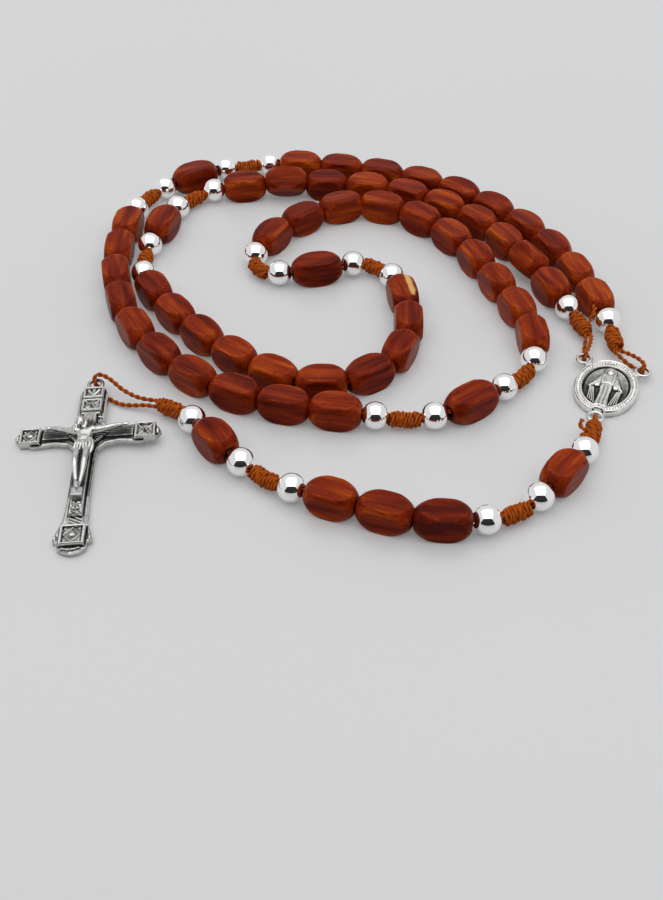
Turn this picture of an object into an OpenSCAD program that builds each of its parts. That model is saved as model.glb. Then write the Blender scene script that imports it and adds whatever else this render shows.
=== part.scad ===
// Knotted-cord rosary with wooden barrel beads, silver balls, an oval centre medal and a
// crucifix, laid out flat. Millimetres, +Z up, origin at the bottom centre of the whole layout.

/* [Wooden beads] */
// Length of a decade bead along its bore
bead_len = 11.3; // [10.8:0.1:11.5]
// Length of an Our Father bead on the loop
father_len = 12.8; // [12:0.1:13]
// Width across two opposite flats
bead_flat = 7.5; // [7:0.1:7.6]
// Diameter of the barrel at the middle of its length
bead_belly = 9.8; // [9.2:0.1:10.2]
// Diameter of the flat end faces
bead_end = 3.2; // [2.8:0.1:3.6]
// Diameter of the bore
bead_bore = 2.0; // [1.8:0.1:2.2]

/* [Silver balls] */
// Diameter of a silver ball
ball_d = 6.0; // [5.8:0.1:6.1]
// Diameter of its bore
ball_bore = 1.7; // [1.6:0.1:1.8]

/* [Cord] */
// Diameter of the twisted cord
cord_d = 1.1; // [0.9:0.1:1.1]
// Diameter of a barrel knot over its wraps
knot_d = 3.2; // [2.8:0.1:3.4]
// Nominal length of a barrel knot
knot_len = 7.0; // [6.4:0.1:7.4]
// Number of wraps that show on a knot
knot_wraps = 8; // [6:1:9]

/* [Medal] */
// Width of the oval
medal_w = 14.6; // [14:0.1:15]
// Height of the oval without its ears
medal_h = 19.4; // [19:0.1:20]
// Thickness from back to rim
medal_t = 2.0; // [1.8:0.1:2.2]
// Mean radius of an ear ring
ear_r = 1.6; // [1.5:0.05:1.7]
// Radius of the ear ring's wire
ear_wire = 0.45; // [0.4:0.05:0.5]

/* [Crucifix] */
// Height of the cross plate from tip to top edge
cross_h = 50.8; // [50:0.1:52]
// Span of the arms from tip to tip
cross_w = 32.4; // [32:0.1:33]
// Thickness of the cross plate
cross_t = 1.5; // [1.3:0.1:1.7]

/* [Hidden] */
gap = 0.15;                     // space left between neighbouring pieces
lift = 0.02;                    // clearance under beads and balls
cord_r = cord_d / 2;
bead_z = bead_flat / 2 + lift;  // height of the cord inside the wooden beads
ball_z = ball_d / 2 + lift;
knot_z = 2 * ball_z - bead_z;   // height of the cord where it enters a knot
step = 16;                      // curve samples between two route points
allow_r = 1.6;                  // radius at which the ends of two beads meet in a bend
allow_ball_r = 0.35;            // the same for balls and knots
cut = 0.12;                     // how far the end of a cord run is drawn in
decade_gap = [0.45, 0.45, 0.2, 0.1, 0.1];  // slack per bead in each decade
father_gap = 0.35;              // slack round an Our Father bead, so that it turns freely
knot_gap = 0.35;                // slack round a knot
barrel_power = 2.7;             // how late the outline of a bead turns in towards its ends
barrel_round = 0.62;            // how round that turn is

// Where the layout sits, so that the origin is the bottom centre of its box
layout = [-2.45, -2, 0];

// Route of the loop from the medal's right side round to its left side
loop_route = [
    [68, -9.5], [67, 3], [62.5, 20], [56, 35.5], [44.5, 51], [30.5, 63], [9, 71.5], [-14, 75],
    [-26, 75.5], [-49.5, 60.5], [-54, 47], [-55.3, 22], [-46, -6], [-21.5, -28], [19, -35.5],
    [34, -28.5], [46, -18.5], [48.5, -4], [41, 18], [33.5, 35], [22, 48.5], [8, 54], [-9, 46],
    [-20, 30], [-17.5, 21.5], [-3, 21.5], [11, 26], [18.5, 8.5], [16, -14.5], [-3, -25],
    [-24.5, -12.5], [-44.5, 12], [-48.5, 29], [-42, 53], [-32, 62], [-5, 64], [20, 59.5],
    [39.9, 44.2], [51.5, 23], [62, -3.5]
];

// Route of the pendant from the medal's lower ear to the crucifix
pendant_route = [
    [58.5, -36.8], [54.5, -47], [48.5, -54], [43, -61], [38, -65], [31, -67.5], [22, -68.5],
    [10.5, -65.5], [-0.5, -61], [-9.5, -57.5], [-19.5, -50], [-25.5, -43.5], [-30.5, -36.5],
    [-34.5, -32], [-39, -29.8]
];

// Kinds of piece: w wooden decade bead, o Our Father bead, s silver ball, k knot
decade = [for (i = [0:9]) "w"];
spacer = ["s", "k", "s", "o", "s", "k", "s"];
loop_kinds = concat(
    ["k", "s"], decade, spacer, decade, spacer, decade, spacer, decade, spacer, decade, ["s", "k"]
);
pendant_kinds = ["k", "s", "w", "s", "k", "s", "w", "w", "w", "s", "k", "s", "w", "s", "k"];

// Pieces from one decade's first bead to the next one's
group = len(decade) + len(spacer);

// Decade number of each wooden bead on the loop, from its place in the list
function decade_of(i) = floor((i - 2) / group);

function length_of(kind) =
    kind == "w" ? bead_len : kind == "o" ? father_len : kind == "s" ? ball_d : knot_len;
function end_radius(kind) = is_wood(kind) ? allow_r : allow_ball_r;
function is_wood(kind) = kind == "w" || kind == "o";

// Smooth curve through the route points
function curve_point(a, b, c, d, t) =
    0.5 * (2 * b + (c - a) * t + (2 * a - 5 * b + 4 * c - d) * t * t
    + (3 * b - a - 3 * c + d) * t * t * t);
function extended(p) =
    concat([2 * p[0] - p[1]], p, [2 * p[len(p) - 1] - p[len(p) - 2]]);
function curve(p, n) =
    let (e = extended(p))
    concat(
        [for (i = [1:len(e) - 3], k = [0:n - 1])
            curve_point(e[i - 1], e[i], e[i + 1], e[i + 2], k / n)],
        [p[len(p) - 1]]
    );

// Running totals of a list, starting from 0
function totals(v) = [for (i = 0, s = 0; i <= len(v); s = s + (i < len(v) ? v[i] : 0), i = i + 1) s];
function legs(p) = [for (i = [0:len(p) - 2]) norm(p[i + 1] - p[i])];
function along(p) = totals(legs(p));
function table(s, p, axis) = [for (i = [0:len(p) - 1]) [s[i], p[i][axis]]];

// Joints between neighbouring pieces, at the given distances along the curve
function joints_at(c, d) =
    let (s = along(c), tx = table(s, c, 0), ty = table(s, c, 1))
    [for (v = d) [lookup(v, tx), lookup(v, ty)]];
function heading(a, b) = atan2(b[1] - a[1], b[0] - a[0]);
function bend(a, b, c) =
    let (t = heading(b, c) - heading(a, b))
    abs(t - 360 * round(t / 360));
function bends(j) = [
    for (i = [0:len(j) - 1]) i == 0 || i == len(j) - 1 ? 0 : bend(j[i - 1], j[i], j[i + 1])
];
function spread(lengths, total) =
    let (s = totals(lengths))
    s * (total / s[len(s) - 1]);

// First the pieces are spread evenly, then each is given the room that its bends need
function placed(route, kinds, slack) =
    let (
        c = curve(route, step),
        s = along(c),
        total = s[len(s) - 1],
        plain = [for (i = [0:len(kinds) - 1]) length_of(kinds[i]) + slack[i]],
        b = bends(joints_at(c, spread(plain, total))),
        roomy = [for (i = [0:len(kinds) - 1])
            plain[i] + end_radius(kinds[i]) * (tan(b[i] / 2) + tan(b[i + 1] / 2))]
    )
    joints_at(c, spread(roomy, total));

// Height of the cord at each joint: level inside wood, lower at the knots
function joint_z(kinds, i) =
    i > 0 && is_wood(kinds[i - 1]) || i < len(kinds) && is_wood(kinds[i]) ? bead_z : knot_z;
function raised(j, kinds) = [for (i = [0:len(j) - 1]) [j[i][0], j[i][1], joint_z(kinds, i)] + layout];

loop_slack = [for (i = [0:len(loop_kinds) - 1])
    loop_kinds[i] == "w" ? decade_gap[decade_of(i)] : loop_kinds[i] == "o" ? father_gap : gap];
pendant_slack = [for (k = pendant_kinds) gap];
loop_joints = raised(placed(loop_route, loop_kinds, loop_slack), loop_kinds);
pendant_joints = raised(placed(pendant_route, pendant_kinds, pendant_slack), pendant_kinds);

// Medal: centre, turn about Z, and the heights that leave room for the cord under its ears
medal_at = [63.4, -22.6, 0.05] + layout;
medal_turn = -21;
medal_ear_z = 1.7;
medal_ear_x = 6.9;
medal_ear_y = 7.9;
medal_foot_y = -11.9;

// Crucifix: hinge point in the wire of its ring, and how it lies against the cord
hinge_at = [-54.3, -21.3, 2.25] + layout;
cross_tilt = [1.15, -3, 2];
ring_y = 17;                // centre of the ring above the crossing
hinge_y = ring_y + ear_r;   // the wire that the cord goes round
plate_back = -1.0;          // back of the plate below the ring's wire
arm_half = 2.3;             // half width of arms and shaft

// Cord loops: from the knot, round the ear's wire and back to the knot
right_loop = [
    [68.3, -9.9, 2.2], [70.1, -11.5, 2.5], [71.9, -13.7, 2.9], [73.1, -16, 2.95],
    [73, -16.8, 2.7], [72.7, -17.4, 1.75], [72.8, -16.8, 0.85], [72.5, -15.6, 0.62],
    [70.4, -13.9, 0.9], [68.6, -12, 1.6], [67.4, -10.3, 2.2]
];
left_loop = [
    [62.6, -4.2, 2.2], [62.2, -6.5, 2.6], [61.3, -9.3, 2.9], [60.5, -11.2, 2.95],
    [60.1, -12, 2.7], [59.9, -12.45, 1.75], [59.9, -11.9, 0.85], [60.1, -10.8, 0.62],
    [60.5, -8.6, 0.8], [61, -6.3, 1.5], [61.4, -4.2, 2.2]
];
foot_loop = [
    [58.9, -36.8, 2.3], [58.8, -36.1, 2.85], [58.6, -35.3, 2.95], [58.8, -34.5, 2.7],
    [58.95, -34.1, 1.75], [58.8, -34.6, 0.85], [58.5, -35.4, 0.62], [58.1, -36.1, 0.8],
    [58, -36.6, 1.6]
];
crucifix_loop = [
    [-39.6, -28.9, 2.5], [-42.2, -28.1, 2.3], [-44.8, -26.9, 2.2], [-47.9, -24.8, 2.5],
    [-50.6, -22.4, 3.2], [-52.8, -21, 3.55], [-54.2, -21.1, 3.55], [-54.5, -22.1, 3.3],
    [-54.4, -22.6, 2.3], [-54, -22.2, 1.3], [-53.2, -22.6, 0.75], [-52, -24.6, 0.62],
    [-50.2, -26.6, 0.62], [-47.6, -28.2, 0.8], [-44.6, -29, 1.2], [-42.2, -29.4, 1.6],
    [-39.8, -30.2, 1.9]
];

// ---- single pieces, each along X and centred on the origin ----

// Half outline of a bead with its bore: a circular arc from the belly to each end face
function barrel(length) =
    let (
        half = length / 2,
        end = bead_end / 2,
        rise = bead_belly / 2 - end,
        n = 6
    )
    concat(
        [[bead_bore / 2, -half]],
        [for (i = [-n:n]) let (t = sin(90 * i / n))
            [end + rise * pow(1 - pow(abs(t), barrel_power), barrel_round), half * t]],
        [[bead_bore / 2, half]]
    );

module wooden_bead(length) {
    intersection() {
        cube([length + 1, bead_flat, bead_flat], center = true);
        rotate([0, 90, 0])
            rotate(45)
                rotate_extrude($fn = 48)
                    polygon(barrel(length));
    }
}

// Half outline of a ball with its bore
function ball_outline() =
    let (r = ball_d / 2, bore = ball_bore / 2, low = acos(bore / r), n = 24)
    [for (i = [-n:n]) let (a = low * i / n) [r * cos(a), r * sin(a)]];

module silver_ball() {
    rotate([0, 90, 0])
        rotate_extrude($fn = 48)
            polygon(ball_outline());
}

// Outline of a knot: one ridge for each wrap of the cord, drawn in at both ends
knot_ridge = 0.35;     // height of a ridge
knot_end_draw = 0.45;  // how much smaller the radius is at the ends
knot_clear = 0.1;      // clearance round the cord inside
function knot_radius(t, ridge) = knot_d / 2 - knot_ridge + ridge - knot_end_draw * pow(abs(t), 5);
function knot_outline(length) =
    let (bore = cord_r + knot_clear, steps = 4 * knot_wraps)
    concat(
        [[bore, -length / 2]],
        [for (k = [0:steps]) let (t = 2 * k / steps - 1)
            [knot_radius(t, knot_ridge * sin(45 * (k % 4))), t * length / 2]],
        [[bore, length / 2]]
    );

module knot(length) {
    rotate([0, 90, 0])
        rotate_extrude($fn = 36)
            polygon(knot_outline(length));
}

// Puts a piece's X axis on the line from a to b
module between(a, b) {
    d = b - a;
    translate((a + b) / 2)
        rotate([0, -asin(d[2] / norm(d)), atan2(d[1], d[0])])
            children();
}

module piece(joints, kinds, i) {
    kind = kinds[i];
    a = joints[i];
    b = joints[i + 1];
    between(a, b) {
        if (is_wood(kind)) {
            color([0.45, 0.16, 0.07]) wooden_bead(length_of(kind));
        } else if (kind == "s") {
            color([0.85, 0.85, 0.86]) silver_ball();
        } else {
            color([0.66, 0.34, 0.07]) knot(norm(b - a) - knot_gap);
        }
    }
}

// ---- cord ----

// Direction of the cord at each point, halfway between its two legs
function unit(v) = v / norm(v);
function directions(p) = [
    for (i = [0:len(p) - 1])
        i == 0 ? unit(p[1] - p[0])
        : i == len(p) - 1 ? unit(p[i] - p[i - 1])
        : unit(unit(p[i + 1] - p[i]) + unit(p[i] - p[i - 1]))
];
// Carries the first side vector along the cord without twisting it
function square_to(v, d) = unit(v - (v * d) * d);
function sides(d, first) = [
    for (i = 0, v = square_to(first, d[0]); i < len(d);
        i = i + 1, v = i < len(d) ? square_to(v, d[i]) : v) v
];
module tube(p, radius, first = [0, 0, 1], ring = 8) {
    d = directions(p);
    v = sides(d, first);
    points = [
        for (i = [0:len(p) - 1], k = [0:ring - 1])
            p[i] + radius * (cos(360 * k / ring) * v[i] + sin(360 * k / ring) * cross(d[i], v[i]))
    ];
    last = (len(p) - 1) * ring;
    walls = [
        for (i = [0:len(p) - 2], k = [0:ring - 1])
            let (a = i * ring + k, b = i * ring + (k + 1) % ring)
            [a, a + ring, b + ring, b]
    ];
    caps = [[for (k = [0:ring - 1]) k], [for (k = [ring - 1:-1:0]) last + k]];
    polyhedron(points = points, faces = concat(walls, caps));
}
// A run of points with both ends drawn in, so that two runs never touch
function trimmed(p) = [
    for (i = [0:len(p) - 1])
        i == 0 ? p[0] + cut * unit(p[1] - p[0])
        : i == len(p) - 1 ? p[i] - cut * unit(p[i] - p[i - 1])
        : p[i]
];
function part_of(p, first, last) = [for (i = [first:last]) p[i]];
function shifted(p) = [for (v = p) v + layout];

module cord_colour() {
    color([0.66, 0.34, 0.07])
        children();
}

module loop_cord() {
    cord_colour()
        tube(loop_joints, cord_r);
}
module medal_cord_right() {
    cord_colour()
        tube(shifted(right_loop), cord_r, [1, 1, 0]);
}
module medal_cord_left() {
    cord_colour()
        tube(shifted(left_loop), cord_r, [1, 0, 0]);
}

// The loop at the medal's foot, and the end that runs on through its knot and ball
module medal_cord_foot() {
    cord_colour() {
        tube(shifted(foot_loop), cord_r, [1, 0, 0]);
        tube(trimmed(part_of(pendant_joints, 0, 2)), cord_r);
    }
}
module pendant_cord(first, last) {
    cord_colour()
        tube(trimmed(part_of(pendant_joints, first, last)), cord_r);
}
module crucifix_cord() {
    cord_colour() {
        tube(trimmed(part_of(pendant_joints, 13, 15)), cord_r);
        tube(shifted(crucifix_loop), cord_r, [0, 1, 0]);
    }
}

// ---- medal ----

function oval(w, h, n = 60) = [for (i = [0:n - 1]) [w / 2 * cos(360 * i / n), h / 2 * sin(360 * i / n)]];

module ear(x, y) {
    translate([x, y, medal_ear_z])
        rotate_extrude($fn = 36)
            translate([ear_r, 0])
                circle(r = ear_wire, $fn = 20);
}

// Short post that carries an ear on the rim
module ear_post(x, y) {
    d = [x, y] / norm([x, y]);
    translate([x - d[0] * (ear_r + 0.5), y - d[1] * (ear_r + 0.5), medal_ear_z])
        cube([1.8, 1.8, 0.8], center = true);
}

// Standing veiled figure in low relief
module medal_figure() {
    translate([0, 0, medal_t - 0.75]) {
        hull() {
            translate([0, -6.4, 0]) cylinder(h = 0.5, r = 1.9, $fn = 24);
            translate([0, 2.2, 0]) cylinder(h = 0.9, r = 1.2, $fn = 24);
        }
        translate([0, 4.6, 0]) cylinder(h = 1, r = 1.1, $fn = 24);
        for (s = [-1, 1])
            hull() {
                translate([s * 1.2, 2.6, 0]) cylinder(h = 0.7, r = 0.6, $fn = 20);
                translate([s * 3.6, -1.6, 0]) cylinder(h = 0.4, r = 0.4, $fn = 20);
            }
    }
}

module medal() {
    color([0.62, 0.61, 0.58])
        translate(medal_at)
            rotate([0, 0, medal_turn]) {
                difference() {
                    linear_extrude(medal_t)
                        polygon(oval(medal_w, medal_h));
                    translate([0, 0, medal_t - 0.7])
                        linear_extrude(1)
                            polygon(oval(medal_w - 4.2, medal_h - 4.2));
                }
                medal_figure();
                for (s = [-1, 1]) {
                    ear(s * medal_ear_x, medal_ear_y);
                    ear_post(s * medal_ear_x, medal_ear_y);
                }
                ear(0, medal_foot_y);
                ear_post(0, medal_foot_y);
            }
}

// ---- crucifix ----

// Right half of the cross plate, from the top edge down to the tip
top_y = 15.8;
foot_tip_y = top_y - cross_h;
tip_x = cross_w / 2;
end_half = 2.95;
foot_half = 4.1;
plate_half = [
    [0, top_y], [1.7, top_y], [2.8, 14.9], [3.2, 13.6], [3.1, 5.4], [2.7, 4.7], [4.3, 2.9],
    [7, 2.35], [12.4, end_half], [12.5, 2.45], [14.7, 2.45], [15.1, 1.8],
    [tip_x, 0],
    [15.1, -1.8], [14.7, -2.45], [12.5, -2.45], [12.4, -end_half], [7, -2.35], [4.3, -2.9],
    [2.6, -4.7], [arm_half, -8], [2.35, -20], [2.6, -25.8], [3.8, -29.6], [foot_half, -31.4],
    [3.2, -31.9], [2.9, -33.6], [1.6, -34.6],
    [0, foot_tip_y]
];
module plate_shape() {
    polygon(plate_half);
    mirror([1, 0])
        polygon(plate_half);
}

// Framed square panel on an arm's end
module panel(x, y, w, h) {
    translate([x, y, 0])
        difference() {
            translate([-w / 2, -h / 2, 0])
                cube([w, h, cross_t + 0.7]);
            translate([-w / 2 + 0.7, -h / 2 + 0.7, cross_t + 0.3])
                cube([w - 1.4, h - 1.4, 1]);
        }
}

module at_cross() {
    translate(hinge_at)
        rotate(cross_tilt)
            translate([0, -hinge_y, plate_back])
                children();
}

module cross() {
    color([0.62, 0.61, 0.58])
        at_cross() {
            linear_extrude(cross_t)
                plate_shape();
            panel(0, 13.5, 4.7, 3.6);
            panel(0, 9.3, 4.7, 3.8);
            panel(-12.7, 0, 4.7, 4.8);
            panel(12.7, 0, 4.7, 4.8);
            panel(0, -30.3, 5.3, 5.4);
            translate([-1.4, -28, 0])
                cube([2.8, 34, cross_t + 0.5]);
            translate([-10.3, -1.25, 0])
                cube([20.6, 2.5, cross_t + 0.5]);
            translate([0, ring_y, -plate_back])
                rotate_extrude($fn = 36)
                    translate([ear_r, 0])
                        circle(r = ear_wire, $fn = 20);
        }
}

// Limb of the figure: a straight stretch between two balls
module limb(a, ra, b, rb) {
    hull() {
        translate(a) sphere(r = ra, $fn = 14);
        translate(b) sphere(r = rb, $fn = 14);
    }
}

// Figure on the cross, standing clear of it except at hands, hips and feet
module corpus() {
    z = cross_t + 0.55;
    color([0.66, 0.65, 0.62])
        at_cross() {
            limb([-0.1, 1.5, z + 2.5], 0.9, [-0.3, 2.1, z + 2.4], 1.05);
            limb([0, -0.4, z + 2], 0.6, [-0.1, 1.3, z + 2.4], 0.55);
            limb([-1.5, -0.6, z + 1.9], 0.8, [1.5, -0.6, z + 1.9], 0.8);
            limb([0, -0.8, z + 1.6], 1.5, [0, -4.2, z + 1.5], 1.1);
            limb([-0.7, -5.8, z + 1.5], 1.3, [0.7, -5.8, z + 1.5], 1.3);
            for (s = [-1, 1]) {
                limb([s * 1.7, -0.5, z + 1.9], 0.75, [s * 5, 0.3, z + 1.3], 0.6);
                limb([s * 5, 0.3, z + 1.3], 0.6, [s * 8.4, 1.2, z + 0.5], 0.45);
                limb([s * 0.95, -6.4, z + 1.6], 0.82, [s * 1, -11, z + 2], 0.64);
                limb([s * 1, -11, z + 2], 0.64, [s * 0.4, -17.4, z + 1], 0.4);
            }
            limb([0, -17.6, z + 0.9], 0.6, [0, -19.2, z + 0.7], 0.5);
            translate([-1.2, -20.6, z])
                cube([2.4, 1.9, 0.9]);
        }
}

// ---- groups on the loop: piece numbers count from the medal's right side ----

module decade_beads(n) {
    for (i = [0:9])
        piece(loop_joints, loop_kinds, 2 + group * (n - 1) + i);
}
module father_bead(n) {
    piece(loop_joints, loop_kinds, 2 + group * (n - 1) + 13);
}
loop_knots = [for (i = [0:len(loop_kinds) - 1]) if (loop_kinds[i] == "k") i];
module loop_knot(n) {
    piece(loop_joints, loop_kinds, loop_knots[n - 1]);
}

// The two silver balls on either side of a knot
module silver_pair(n) {
    piece(loop_joints, loop_kinds, loop_knots[n - 1] - 1);
    piece(loop_joints, loop_kinds, loop_knots[n - 1] + 1);
}

pendant_knots = [for (i = [0:len(pendant_kinds) - 1]) if (pendant_kinds[i] == "k") i];
pendant_balls = [for (i = [0:len(pendant_kinds) - 1]) if (pendant_kinds[i] == "s") i];
pendant_beads = [for (i = [0:len(pendant_kinds) - 1]) if (pendant_kinds[i] == "w") i];
// Stretches of pendant cord: first and last joint of each
pendant_runs = [[2, 3], [3, 6], [6, 9], [9, 12], [12, 13]];

loop_cord();
medal_cord_right();
medal_cord_left();
medal_cord_foot();
for (n = [1:5]) decade_beads(n);
for (n = [1:4]) father_bead(n);
for (n = [1:10]) loop_knot(n);
piece(loop_joints, loop_kinds, 1);  // silver_ball_first
for (n = [2:9]) silver_pair(n);
piece(loop_joints, loop_kinds, len(loop_kinds) - 2);  // silver_ball_last
medal();
for (n = [1:4])
    piece(pendant_joints, pendant_kinds, pendant_knots[n - 1]);
for (n = [1:6])
    piece(pendant_joints, pendant_kinds, pendant_balls[n - 1]);
for (n = [1:5])
    piece(pendant_joints, pendant_kinds, pendant_beads[n - 1]);
for (n = [1:5])
    pendant_cord(pendant_runs[n - 1][0], pendant_runs[n - 1][1]);
crucifix_cord();
cross();
corpus();
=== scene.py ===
"""Looks of the knotted-cord rosary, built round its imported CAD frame.

Shapes are worked out in millimetres, in the row frame, and scaled to metres as each piece is made.
"""
import math

import bpy
import numpy as np
from mathutils.geometry import delaunay_2d_cdt
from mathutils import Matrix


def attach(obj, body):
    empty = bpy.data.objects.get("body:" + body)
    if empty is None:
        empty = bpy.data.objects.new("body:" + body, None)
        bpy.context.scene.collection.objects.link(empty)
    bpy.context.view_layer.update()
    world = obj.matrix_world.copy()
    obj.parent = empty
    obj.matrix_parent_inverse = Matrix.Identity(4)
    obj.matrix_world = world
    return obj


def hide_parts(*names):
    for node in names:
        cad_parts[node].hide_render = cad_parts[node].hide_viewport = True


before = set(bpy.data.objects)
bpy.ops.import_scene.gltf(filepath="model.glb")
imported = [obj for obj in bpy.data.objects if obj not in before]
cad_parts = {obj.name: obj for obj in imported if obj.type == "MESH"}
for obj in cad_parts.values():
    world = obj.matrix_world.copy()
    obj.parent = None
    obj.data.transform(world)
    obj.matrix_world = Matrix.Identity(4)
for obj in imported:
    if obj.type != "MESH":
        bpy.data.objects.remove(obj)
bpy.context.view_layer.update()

MM = 0.001
UP = np.array([0.0, 0.0, 1.0])

# Driving sizes, as in the CAD source
LAYOUT = np.array([-2.45, -2.0, 0.0])
BEAD_LEN, FATHER_LEN = 11.3, 12.8
BEAD_FLAT, BEAD_BORE = 7.5, 2.0
BALL_D, BALL_BORE = 6.0, 1.7
CORD_D, KNOT_LEN = 1.1, 7.0
GAP, LIFT, FATHER_GAP = 0.15, 0.02, 0.35
ALLOW_R, ALLOW_BALL_R = 1.6, 0.35
DECADE_GAP = [0.45, 0.45, 0.2, 0.1, 0.1]
BEAD_Z = BEAD_FLAT / 2 + LIFT
KNOT_Z = 2 * (BALL_D / 2 + LIFT) - BEAD_Z

# Routes of the cord, repeated from the CAD source
LOOP_ROUTE = [
    [68, -9.5], [67, 3], [62.5, 20], [56, 35.5], [44.5, 51], [30.5, 63], [9, 71.5], [-14, 75],
    [-26, 75.5], [-49.5, 60.5], [-54, 47], [-55.3, 22], [-46, -6], [-21.5, -28], [19, -35.5],
    [34, -28.5], [46, -18.5], [48.5, -4], [41, 18], [33.5, 35], [22, 48.5], [8, 54], [-9, 46],
    [-20, 30], [-17.5, 21.5], [-3, 21.5], [11, 26], [18.5, 8.5], [16, -14.5], [-3, -25],
    [-24.5, -12.5], [-44.5, 12], [-48.5, 29], [-42, 53], [-32, 62], [-5, 64], [20, 59.5],
    [39.9, 44.2], [51.5, 23], [62, -3.5],
]
PENDANT_ROUTE = [
    [58.5, -36.8], [54.5, -47], [48.5, -54], [43, -61], [38, -65], [31, -67.5], [22, -68.5],
    [10.5, -65.5], [-0.5, -61], [-9.5, -57.5], [-19.5, -50], [-25.5, -43.5], [-30.5, -36.5],
    [-34.5, -32], [-39, -29.8],
]
RIGHT_LOOP = [
    [68.3, -9.9, 2.2], [70.1, -11.5, 2.5], [71.9, -13.7, 2.9], [73.1, -16, 2.95],
    [73, -16.8, 2.7], [72.7, -17.4, 1.75], [72.8, -16.8, 0.85], [72.5, -15.6, 0.62],
    [70.4, -13.9, 0.9], [68.6, -12, 1.6], [67.4, -10.3, 2.2],
]
LEFT_LOOP = [
    [62.6, -4.2, 2.2], [62.2, -6.5, 2.6], [61.3, -9.3, 2.9], [60.5, -11.2, 2.95],
    [60.1, -12, 2.7], [59.9, -12.45, 1.75], [59.9, -11.9, 0.85], [60.1, -10.8, 0.62],
    [60.5, -8.6, 0.8], [61, -6.3, 1.5], [61.4, -4.2, 2.2],
]
FOOT_LOOP = [
    [58.9, -36.8, 2.3], [58.8, -36.1, 2.85], [58.6, -35.3, 2.95], [58.8, -34.5, 2.7],
    [58.95, -34.1, 1.75], [58.8, -34.6, 0.85], [58.5, -35.4, 0.62], [58.1, -36.1, 0.8],
    [58, -36.6, 1.6],
]
CRUCIFIX_LOOP = [
    [-39.6, -28.9, 2.5], [-42.2, -28.1, 2.3], [-44.8, -26.9, 2.2], [-47.9, -24.8, 2.5],
    [-50.6, -22.4, 3.2], [-52.8, -21, 3.55], [-54.2, -21.1, 3.55], [-54.5, -22.1, 3.3],
    [-54.4, -22.6, 2.3], [-54, -22.2, 1.3], [-53.2, -22.6, 0.75], [-52, -24.6, 0.62],
    [-50.2, -26.6, 0.62], [-47.6, -28.2, 0.8], [-44.6, -29, 1.2], [-42.2, -29.4, 1.6],
    [-39.8, -30.2, 1.9],
]
DECADE = "w" * 10    # w bead, o Our Father bead, s silver ball, k knot
SPACER = "sksosks"
LOOP_KINDS = "ks" + SPACER.join([DECADE] * 5) + "sk"
PENDANT_KINDS = "kswskswwwskswsk"
GROUP = 17

MEDAL_AT = np.array([63.4, -22.6, 0.05]) + LAYOUT
MEDAL_TURN = -21.0
MEDAL_W, MEDAL_H = 14.6, 19.4
EAR_R, EAR_WIRE, EAR_Z = 1.6, 0.45, 1.7
EARS = [(6.9, 7.9), (-6.9, 7.9), (0.0, -11.9)]
HINGE_AT = np.array([-54.3, -21.3, 2.25]) + LAYOUT
CROSS_TILT = (1.15, -3.0, 2.0)
RING_Y = 17.0
HINGE_Y = RING_Y + EAR_R
PLATE_BACK = -1.0


# ---- camera ----

CAMERA_HEIGHT = 184.7
CAMERA_BACK = 245.0
CAMERA_PITCH = 42.4
LENS = 49.88


def new_object(name, data):
    obj = bpy.data.objects.new(name, data)
    bpy.context.scene.collection.objects.link(obj)
    return obj


def make_camera():
    data = bpy.data.cameras.new("camera")
    data.lens = LENS
    data.sensor_width = 36.0
    data.clip_start = 0.01
    data.clip_end = 20.0
    camera = new_object("camera", data)
    camera.location = ((LAYOUT + [0, -CAMERA_BACK, CAMERA_HEIGHT]) * MM).tolist()
    camera.rotation_euler = (math.radians(90 - CAMERA_PITCH), 0, 0)
    bpy.context.scene.camera = camera


# ---- placing along the cord ----

def unit(v):
    return v / np.linalg.norm(v)


def full_turn(count):
    """Evenly spaced angles round one turn."""
    return np.linspace(0, math.tau, count, endpoint=False)


def curve(points, steps):
    """Smooth curve through the points, with the given steps between two of them."""
    p = np.array(points, float)
    e = np.vstack([2 * p[0] - p[1], p, 2 * p[-1] - p[-2]])
    t = np.arange(steps)[:, None] / steps
    out = []
    for a, b, c, d in zip(e[:-3], e[1:-2], e[2:-1], e[3:]):
        out.append(0.5 * (2 * b + (c - a) * t + (2 * a - 5 * b + 4 * c - d) * t**2
                          + (3 * b - a - 3 * c + d) * t**3))
    return np.vstack(out + [p[-1:]])


def along(points):
    """Distance along a run of points, from its start."""
    return np.concatenate([[0], np.cumsum(np.linalg.norm(np.diff(points, axis=0), axis=1))])


def at_distance(points, d):
    s = along(points)
    return np.stack([np.interp(d, s, points[:, k]) for k in range(points.shape[1])], axis=1)


def evenly(points, spacing):
    """The same run with points at an even spacing."""
    total = along(points)[-1]
    return at_distance(points, np.linspace(0, total, max(4, int(round(total / spacing)) + 1)))


def bends(joints):
    d = np.diff(joints, axis=0)
    turn = np.diff(np.arctan2(d[:, 1], d[:, 0]))
    turn = np.abs(turn - math.tau * np.round(turn / math.tau))
    return np.concatenate([[0], turn, [0]])


def places(kinds, kind):
    return [i for i, k in enumerate(kinds) if k == kind]


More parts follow.
